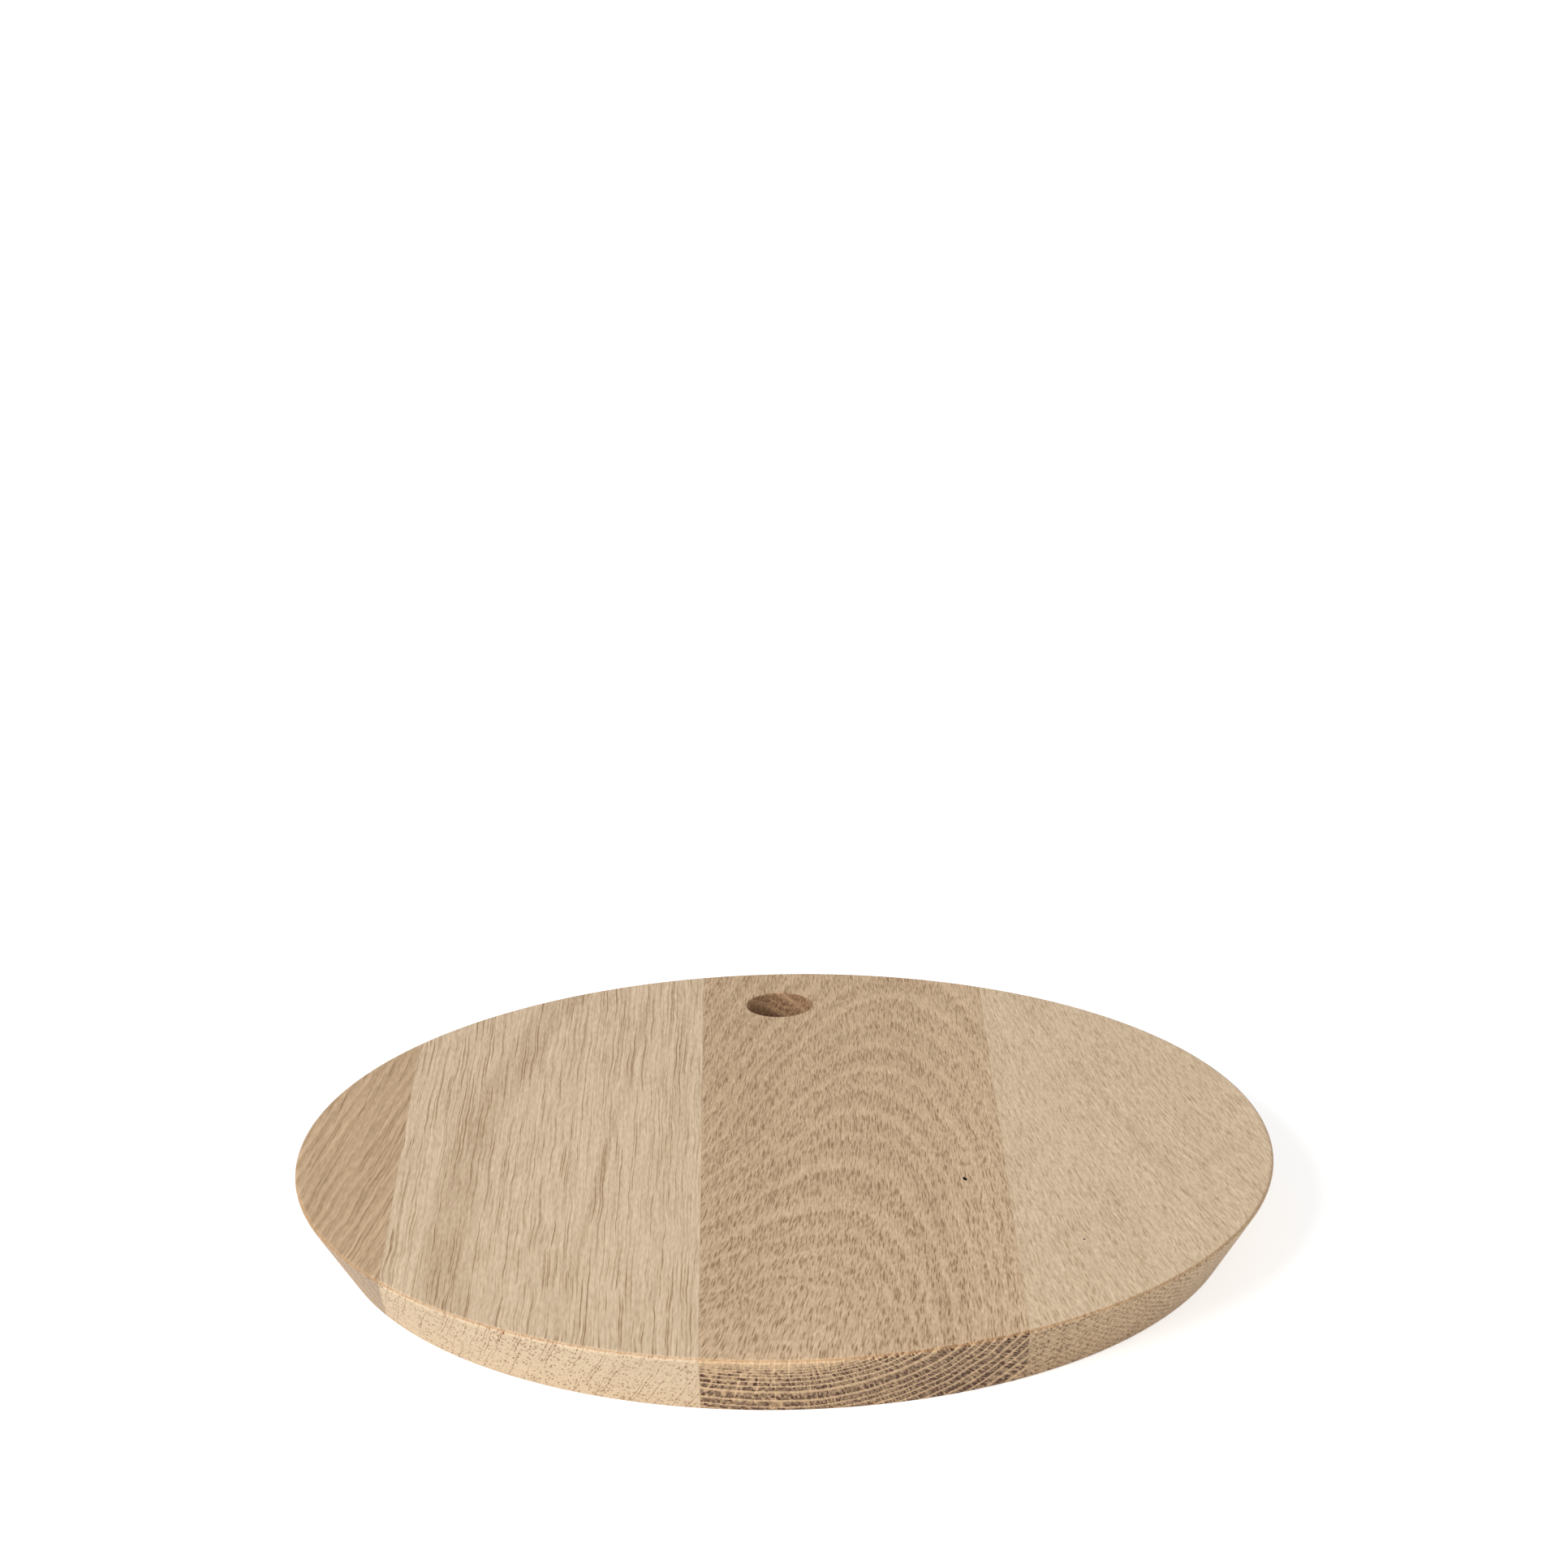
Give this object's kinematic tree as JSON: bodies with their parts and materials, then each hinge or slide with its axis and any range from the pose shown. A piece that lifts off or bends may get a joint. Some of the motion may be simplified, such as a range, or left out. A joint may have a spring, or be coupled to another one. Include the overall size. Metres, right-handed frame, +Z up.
{
  "type": "round cutting board",
  "caption": "Round oak cutting board of wide staves glued edge to edge, with an undercut rim that lifts off the table easily and a finger hole near the rim to hang it by.",
  "frame": {"origin": "centre of the flat underside, on the surface that the board lies on", "axes": "+Z up through the thickness, +Y along the grain towards the hanging hole, +X to the right when the hole is at the far side"},
  "size_m": [0.3, 0.3, 0.0215],
  "materials": {
    "oak_left_edge": "matte",
    "oak_left": "matte",
    "oak_right": "matte",
    "oak_right_edge": "matte",
    "cured_glue": "satin"
  },
  "bodies": {
    "root": {"left_edge_stave": "oak_left_edge", "left_stave": "oak_left", "right_stave": "oak_right", "right_edge_stave": "oak_right_edge", "left_glue_line": "cured_glue", "middle_glue_line": "cured_glue", "right_glue_line": "cured_glue"}
  },
  "joints": []
}
